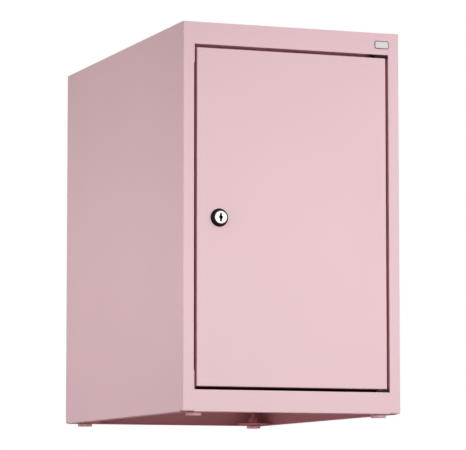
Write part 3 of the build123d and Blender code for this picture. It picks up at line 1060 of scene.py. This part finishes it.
@dataclass
class CamLock:
    """Black rosette, nickel-plated threaded barrel, clamping nut and the screw of the latch tongue."""

    finishes: Finishes
    forms: Forms
    segments: int = 96
    rim_height: float = 0.8 * MM
    rim_edge: float = 0.35 * MM
    crown_diameter: float = 18.4 * MM
    crown_edge: float = 0.12 * MM
    bezel_height: float = 1.8 * MM
    bezel_edge: float = 0.9 * MM
    seat_fit: float = 0.05 * MM
    barrel_diameter: float = 16 * MM
    barrel_flats: float = 14.4 * MM
    plug_bore: float = 13.1 * MM
    recess: float = 0.9 * MM
    thread_pitch: float = 1.0 * MM
    thread_depth: float = 0.5 * MM
    rows_per_turn: int = 8
    nut_lead: float = 0.5 * MM
    screw_diameter: float = 5 * MM
    screw_head: float = 3 * MM
    flange_diameter: float = 12.4 * MM
    flange_height: float = 1.0 * MM
    flange_slope: float = 0.5 * MM
    chamfer_slope: float = 0.5
    face_share: float = 0.97
    cut_margin: float = 0.01 * MM

    def rosette(self) -> bpy.types.Object:
        """Turns the conical collar with its rounded rim and its thin crown.

        Returns:
            The rosette.
        """
        low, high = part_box("lock_rosette")
        outer = (high.x - low.x) / 2
        deep = high.y - low.y
        bore = self.barrel_diameter / 2 + self.seat_fit
        crown = self.crown_diameter / 2
        bezel = (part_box("lock_housing")[1].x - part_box("lock_housing")[0].x) / 2 + self.seat_fit
        profile = rounded(
            (
                (bore, 0, 0),
                (outer, 0, 0),
                (outer, self.rim_height, self.rim_edge),
                (crown, deep, self.crown_edge),
                (bezel, deep, self.crown_edge),
                (bezel, deep - self.recess, 0),
                (bore, deep - self.recess, 0),
            )
        )
        middle = node_centre("lock_rosette")
        mesh = placed(turned(profile, self.segments), (middle.x, high.y, middle.z), Facing.FRONT)
        mesh.materials.append(self.finishes.by_slot[Slot.PLASTIC])
        piece = piece_object("rosette_collar", mesh)
        return seat(piece, Body.DOOR.value, ["lock_rosette"])

    def barrel(self) -> bpy.types.Object:
        """Turns the bezel and barrel, then cuts the thread and the two flats behind the nut.

        Returns:
            The barrel.
        """
        low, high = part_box("lock_housing")
        deep = high.y - low.y
        nut_low, nut_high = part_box("lock_nut")
        bezel = (high.x - low.x) / 2
        outer = self.barrel_diameter / 2
        bore = self.plug_bore / 2
        seat_height = deep - self.bezel_height
        thread_end = high.y - nut_low.y
        nut_end = high.y - nut_high.y
        rows = int(thread_end / self.thread_pitch * self.rows_per_turn)
        skin = [(outer, thread_end * number / rows) for number in range(rows + 1)]
        bezel_corners = (
            (outer, seat_height, 0),
            (bezel, seat_height, 0),
            (bezel, deep, self.bezel_edge),
            (bore, deep, self.crown_edge),
            (bore, 0, 0),
        )
        profile = [*skin, *rounded(bezel_corners)]
        sizes = {
            "Pitch": self.thread_pitch,
            "Depth": self.thread_depth,
            "Major Radius": outer,
            "Start": -self.thread_pitch / self.rows_per_turn,
            "End": nut_end,
            "Half Flats": self.barrel_flats / 2,
        }
        finish = self.finishes.by_slot[Slot.BRIGHT]
        piece = self.forms.thread.shape("lock_barrel", turned(profile, self.segments), finish, sizes)
        middle = node_centre("lock_housing")
        placed(piece.data, (middle.x, high.y, middle.z), Facing.FRONT)
        return seat(piece, Body.DOOR.value, ["lock_housing"])

    def hexagon_piece(
        self, name: str, node: str, inner: Sequence[Point2], base: float, slot: Slot, body: Body
    ) -> bpy.types.Object:
        """Cuts one chamfered hexagon, looking to the back, and sets it in a node's place.

        Args:
            name: Name of the piece.
            node: Node that it stands for.
            inner: Half section inside the hexagon, from its free face round to its seat.
            base: Height above the node's front from which it is hexagonal.
            slot: Slot of its finish.
            body: Body that it rides on.

        Returns:
            The piece.
        """
        low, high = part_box(node)
        middle = node_centre(node)
        top = high.y - low.y
        flats = min(high.x - low.x, high.z - low.z)
        corner = flats / 2 / math.cos(SIXTH_TURN / 2)
        face = flats / 2 * self.face_share
        shoulder = top - (corner - face) * self.chamfer_slope
        profile = [(corner, base), (corner, shoulder), (face, top), *inner]
        sizes = {
            "Across Flats": flats,
            "Base": base - self.cut_margin,
            "Shoulder": shoulder - self.cut_margin,
            "Slope": self.chamfer_slope,
        }
        blank = turned(profile, self.segments)
        piece = self.forms.hexagon.shape(name, blank, self.finishes.by_slot[slot], sizes)
        turn = 0.0 if high.x - low.x > high.z - low.z else SIXTH_TURN / 2
        piece.data.transform(Matrix.Rotation(turn, 4, "Z"))
        placed(piece.data, (middle.x, low.y, middle.z), Facing.BACK)
        return seat(piece, body.value, [node], crisp=math.atan(self.chamfer_slope) / 2)

    def nut(self) -> bpy.types.Object:
        """Cuts the clamping nut with a lead-in at its bore.

        Returns:
            The nut.
        """
        low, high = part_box("lock_nut")
        top = high.y - low.y
        bore = self.barrel_diameter / 2 + self.seat_fit
        inner = [(bore + self.nut_lead, top), (bore, top - self.nut_lead), (bore, 0)]
        return self.hexagon_piece("clamping_nut", "lock_nut", inner, 0.0, Slot.ZINC, Body.DOOR)

    def screw(self) -> bpy.types.Object:
        """Cuts the flanged screw that holds the latch tongue over its square hole.

        Returns:
            The screw.
        """
        low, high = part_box("cam_screw")
        top = high.y - low.y
        shank = self.screw_diameter / 2
        flange = self.flange_diameter / 2
        under = top - self.screw_head
        head = under + self.flange_height
        stem = [(0, top), (0, 0), (shank, 0), (shank, under)]
        inner = [*stem, (flange, under), (flange, head - self.flange_slope)]
        return self.hexagon_piece("hexagon_screw", "cam_screw", inner, head, Slot.ZINC, Body.LOCK_CORE)

    def build(self) -> None:
        """Builds the lock's pieces from the front to the back."""
        self.rosette()
        self.barrel()
        self.nut()
        self.screw()


@dataclass
class LevellingFeet:
    """Four moulded feet on threaded studs."""

    finishes: Finishes
    forms: Forms
    segments: int = 64
    edge: float = 0.5 * MM
    top_edge: float = 0.3 * MM
    seat_thickness: float = 1.2 * MM
    stud_fit: float = 0.05 * MM
    stud_point: float = 1.0 * MM
    pitch: float = 1.25 * MM
    depth: float = 0.6 * MM
    rows_per_turn: int = 8
    stud_segments: int = 32

    def pad(self, corner: Corner) -> bpy.types.Object:
        """Turns one flat round foot with soft edges.

        Args:
            corner: Where it stands.

        Returns:
            The foot.
        """
        node = f"foot_pad_{corner.value}"
        low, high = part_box(node)
        stud_low, stud_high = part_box(f"foot_stud_{corner.value}")
        bore = (stud_high.x - stud_low.x) / 2 + self.stud_fit
        rim = (high.x - low.x) / 2
        top = high.z - low.z
        profile = rounded(
            (
                (0, 0, 0),
                (rim, 0, self.edge),
                (rim, top, self.top_edge),
                (bore, top, 0),
                (bore, self.seat_thickness, 0),
                (0, self.seat_thickness, 0),
            )
        )
        middle = node_centre(node)
        mesh = placed(turned(profile, self.segments), (middle.x, middle.y, low.z), Facing.UP)
        mesh.materials.append(self.finishes.by_slot[Slot.FOOT])
        piece = piece_object(f"moulded_foot_{corner.value}", mesh)
        return seat(piece, f"foot_{corner.value}", [node])

    def stud(self, corner: Corner) -> bpy.types.Object:
        """Cuts the thread of one stud.

        Args:
            corner: Where it stands.

        Returns:
            The stud.
        """
        node = f"foot_stud_{corner.value}"
        low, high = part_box(node)
        radius = (high.x - low.x) / 2
        length = high.z - low.z
        shank = length - self.stud_point
        rows = int(shank / self.pitch * self.rows_per_turn)
        skin = [(radius, shank * number / rows) for number in range(rows + 1)]
        profile = [(0, 0), *skin, (radius - self.stud_point, length), (0, length)]
        sizes = {
            "Pitch": self.pitch,
            "Depth": self.depth,
            "Major Radius": radius,
            "Start": 0.0,
            "End": shank,
            "Half Flats": 2 * radius,
        }
        blank = turned(profile, self.stud_segments)
        finish = self.finishes.by_slot[Slot.STUD]
        piece = self.forms.thread.shape(f"threaded_stud_{corner.value}", blank, finish, sizes)
        middle = node_centre(node)
        placed(piece.data, (middle.x, middle.y, low.z), Facing.UP)
        return seat(piece, f"foot_{corner.value}", [node])

    def build(self) -> None:
        """Builds the foot and the stud of every corner."""
        for corner in Corner:
            self.pad(corner)
            self.stud(corner)


@dataclass
class DoorBumpers:
    """Two domed rubber buffers that the door closes on."""

    finishes: Finishes
    segments: int = 48
    dome: float = 1.3 * MM
    dimple_radius: float = 1.0 * MM
    dimple_depth: float = 0.3 * MM
    arc_steps: int = 8

    def build(self) -> bpy.types.Object:
        """Turns both buffers and seats them on the stop lip.

        Returns:
            Both buffers, as one piece.
        """
        node = "door_bumpers"
        low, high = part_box(node)
        radius = (high.x - low.x) / 2
        top = high.y - low.y
        profile = rounded(
            (
                (0, 0, 0),
                (radius, 0, 0),
                (radius, top, self.dome),
                (self.dimple_radius, top, self.dimple_depth),
                (self.dimple_radius, top - self.dimple_depth, 0),
                (0, top - self.dimple_depth, 0),
            ),
            self.arc_steps,
        )
        middle = node_centre(node)
        heights = (low.z + radius, high.z - radius)
        seats = [(middle.x, high.y, height) for height in heights]
        meshes = [placed(turned(profile, self.segments), centre, Facing.FRONT) for centre in seats]
        mesh = merged("rubber_buffers", meshes)
        mesh.materials.append(self.finishes.by_slot[Slot.RUBBER])
        piece = piece_object("rubber_buffers", mesh)
        return seat(piece, Body.CARCASS.value, [node])


@dataclass(frozen=True)
class SoftPanel:
    """One rectangular studio light."""

    name: str
    place: Place
    target: Place
    size: Point2
    power: float
    colour: Colour = (1.0, 1.0, 1.0)

    def hang(self, unlit: bpy.types.Collection) -> None:
        """Puts the light into the scene, out of the camera's sight.

        Args:
            unlit: What the light doesn't fall on.
        """
        data = bpy.data.lights.new(self.name, "AREA")
        data.shape = "RECTANGLE"
        data.size, data.size_y = self.size
        data.energy = self.power
        data.color = self.colour
        light = bpy.data.objects.new(self.name, data)
        light.location = self.place
        light.rotation_euler = (Vector(self.target) - Vector(self.place)).to_track_quat("-Z", "Y").to_euler()
        light.visible_camera = False
        light.light_linking.receiver_collection = unlit
        bpy.context.scene.collection.objects.link(light)


@dataclass
class Studio:
    """Pale floor, soft panels of light all round under a white sky, and the camera."""

    camera_place: Place = (-1.3764, -3.7106, -0.1358)
    camera_pitch: float = 95.852
    camera_yaw: float = -20.485
    lens: float = 224.364
    sensor: float = 36.0
    floor_half: float = 9.0
    floor_colour: Colour = (0.88, 0.88, 0.88)
    floor_roughness: float = 0.9
    floor_cloud: float = 0.8
    floor_shade: float = 0.995
    floor_glow: float = 0.42
    sky_top: float = 0.67
    sky_side: float = 0.52
    sky_below: float = 0.21
    sky_heights: tuple[float, float, float] = (-0.35, 0.05, 0.9)
    backdrop: float = 1.0
    panels: tuple[SoftPanel, ...] = (
        SoftPanel("front_light", (0.475, -1.55, 0.325), (0, -0.25, 0.275), (1.6, 0.8), 10.15),
        SoftPanel("front_strip", (0.10, -1.90, 0.06), (0, -0.25, 0.06), (1.2, 0.1), 2.5),
        SoftPanel("side_light", (-0.75, 0.05, 0.23), (-0.15, 0.05, 0.23), (1.2, 0.1), 1.77),
        SoftPanel("side_strip", (-0.75, 0.05, -0.10), (0.149, 0.05, 0.015), (1.2, 0.08), 0.63),
        SoftPanel("ground_bounce", (0, 0, -0.35), (0, 0, 0), (0.26, 0.44), 0.48, (1.0, 0.5, 0.52)),
        SoftPanel("top_light", (0.35, 0.25, 1.7), (0.35, 0.25, 0.5), (0.9, 0.9), 2.4),
        SoftPanel("right_light", (1.5, 0.30, 0.55), (0.15, 0.30, 0.55), (0.9, 0.9), 3.2),
        SoftPanel("rear_light", (0.35, 1.6, 0.55), (0.35, 0.25, 0.55), (0.9, 0.9), 3.2),
    )
    bounces: int = 24
    combined_curve: int = 3
    tone: tuple[Point2, ...] = ((0.10, 0.055), (0.25, 0.18), (0.45, 0.41), (0.65, 0.64))

    def camera(self) -> None:
        """Sets the camera where the cabinet is seen from below its front left corner."""
        data = bpy.data.cameras.new("camera")
        data.sensor_width = self.sensor
        data.lens = self.lens
        camera = bpy.data.objects.new("camera", data)
        camera.location = self.camera_place
        camera.rotation_euler = (math.radians(self.camera_pitch), 0, math.radians(self.camera_yaw))
        bpy.context.scene.collection.objects.link(camera)
        bpy.context.scene.camera = camera

    def world(self) -> None:
        """White behind everything; the light on the object falls off below the horizon."""
        world = bpy.data.worlds.new("studio")
        bpy.context.scene.world = world
        world.use_nodes = True
        maker = NodeMaker(world.node_tree)
        world.node_tree.nodes.clear()
        direction = maker.add("ShaderNodeTexCoord").outputs["Generated"]
        height = maker.add("ShaderNodeSeparateXYZ", {0: direction}).outputs["Z"]
        dusk, horizon, zenith = self.sky_heights
        inputs = {"Value": height, "From Min": dusk, "From Max": horizon}
        inputs |= {"To Min": self.sky_below, "To Max": self.sky_side}
        lower = maker.add("ShaderNodeMapRange", inputs, interpolation_type="SMOOTHSTEP").outputs["Result"]
        inputs = {"Value": height, "From Min": horizon, "From Max": zenith}
        inputs |= {"To Min": 0.0, "To Max": self.sky_top - self.sky_side}
        upper = maker.add("ShaderNodeMapRange", inputs).outputs["Result"]
        glow = maker.maths("ADD", lower, upper)
        light = maker.add("ShaderNodeBackground", {"Color": WHITE, "Strength": glow})
        ground = maker.add("ShaderNodeBackground", {"Color": WHITE, "Strength": self.backdrop})
        seen = maker.add("ShaderNodeLightPath").outputs["Is Camera Ray"]
        mixed = maker.add("ShaderNodeMixShader", {0: seen, 1: light.outputs[0], 2: ground.outputs[0]})
        maker.add("ShaderNodeOutputWorld", {"Surface": mixed.outputs[0]})

    def floor(self) -> bpy.types.Object:
        """Pale floor that shows its upper side only, so that the cabinet can be seen from below.

        Returns:
            The floor.
        """
        mesh = bpy.data.meshes.new("floor")
        half = self.floor_half
        corners = [(-half, -half, 0), (half, -half, 0), (half, half, 0), (-half, half, 0)]
        mesh.from_pydata(corners, [], [(0, 1, 2, 3)])
        constants = {"Emission_Color": WHITE, "Emission_Strength": self.floor_glow}
        surface = Surface("floor_paper", Roughness=self.floor_roughness, **constants)
        clouds = surface.noise(self.floor_cloud)
        surface.tint(clouds, shaded(self.floor_colour, self.floor_shade), self.floor_colour)
        output = surface.tree.nodes["Material Output"]
        clear = surface.add("ShaderNodeBsdfTransparent").outputs[0]
        under = surface.add("ShaderNodeNewGeometry").outputs["Backfacing"]
        mixed = surface.add("ShaderNodeMixShader", {0: under, 1: surface.shader.outputs[0], 2: clear})
        surface.tree.links.new(mixed.outputs[0], output.inputs["Surface"])
        mesh.materials.append(surface.material)
        floor = piece_object("floor", mesh)
        floor.visible_diffuse = False
        floor.visible_glossy = False
        floor.visible_shadow = False
        return floor

    def deep_light(self) -> None:
        """Lets light bounce on in the narrow gaps."""
        settings = bpy.context.scene.cycles
        settings.max_bounces = self.bounces
        settings.diffuse_bounces = self.bounces

    def tones(self) -> None:
        """Shows the picture with a little more depth in its shadows."""
        settings = bpy.context.scene.view_settings
        settings.view_transform = "Standard"
        settings.look = "None"
        settings.use_curve_mapping = True
        curve = settings.curve_mapping.curves[self.combined_curve]
        for place in self.tone:
            curve.points.new(*place)
        settings.curve_mapping.update()

    def build(self) -> None:
        """Sets the camera, the floor and the lights."""
        self.camera()
        self.world()
        unlit = bpy.data.collections.new("unlit_by_panels")
        unlit.objects.link(self.floor())
        for row in unlit.collection_objects:
            row.light_linking.link_state = "EXCLUDE"
        for panel in self.panels:
            panel.hang(unlit)
        self.deep_light()
        self.tones()


def main() -> None:
    """Dresses the frame, adds the pieces and lights the scene."""
    logging.basicConfig(level=logging.INFO, format="%(name)s: %(message)s")
    finishes = Finishes(tuple(node_centre("lock_housing")))
    finishes.dress_frame()
    forms = Forms(ThreadTree(), HexagonTree(), WeldTree())
    LabelPlate(finishes).build()
    SpotWelds(finishes, forms).build()
    CamLock(finishes, forms).build()
    LevellingFeet(finishes, forms).build()
    DoorBumpers(finishes).build()
    Studio().build()


if __name__ == "__main__":
    main()
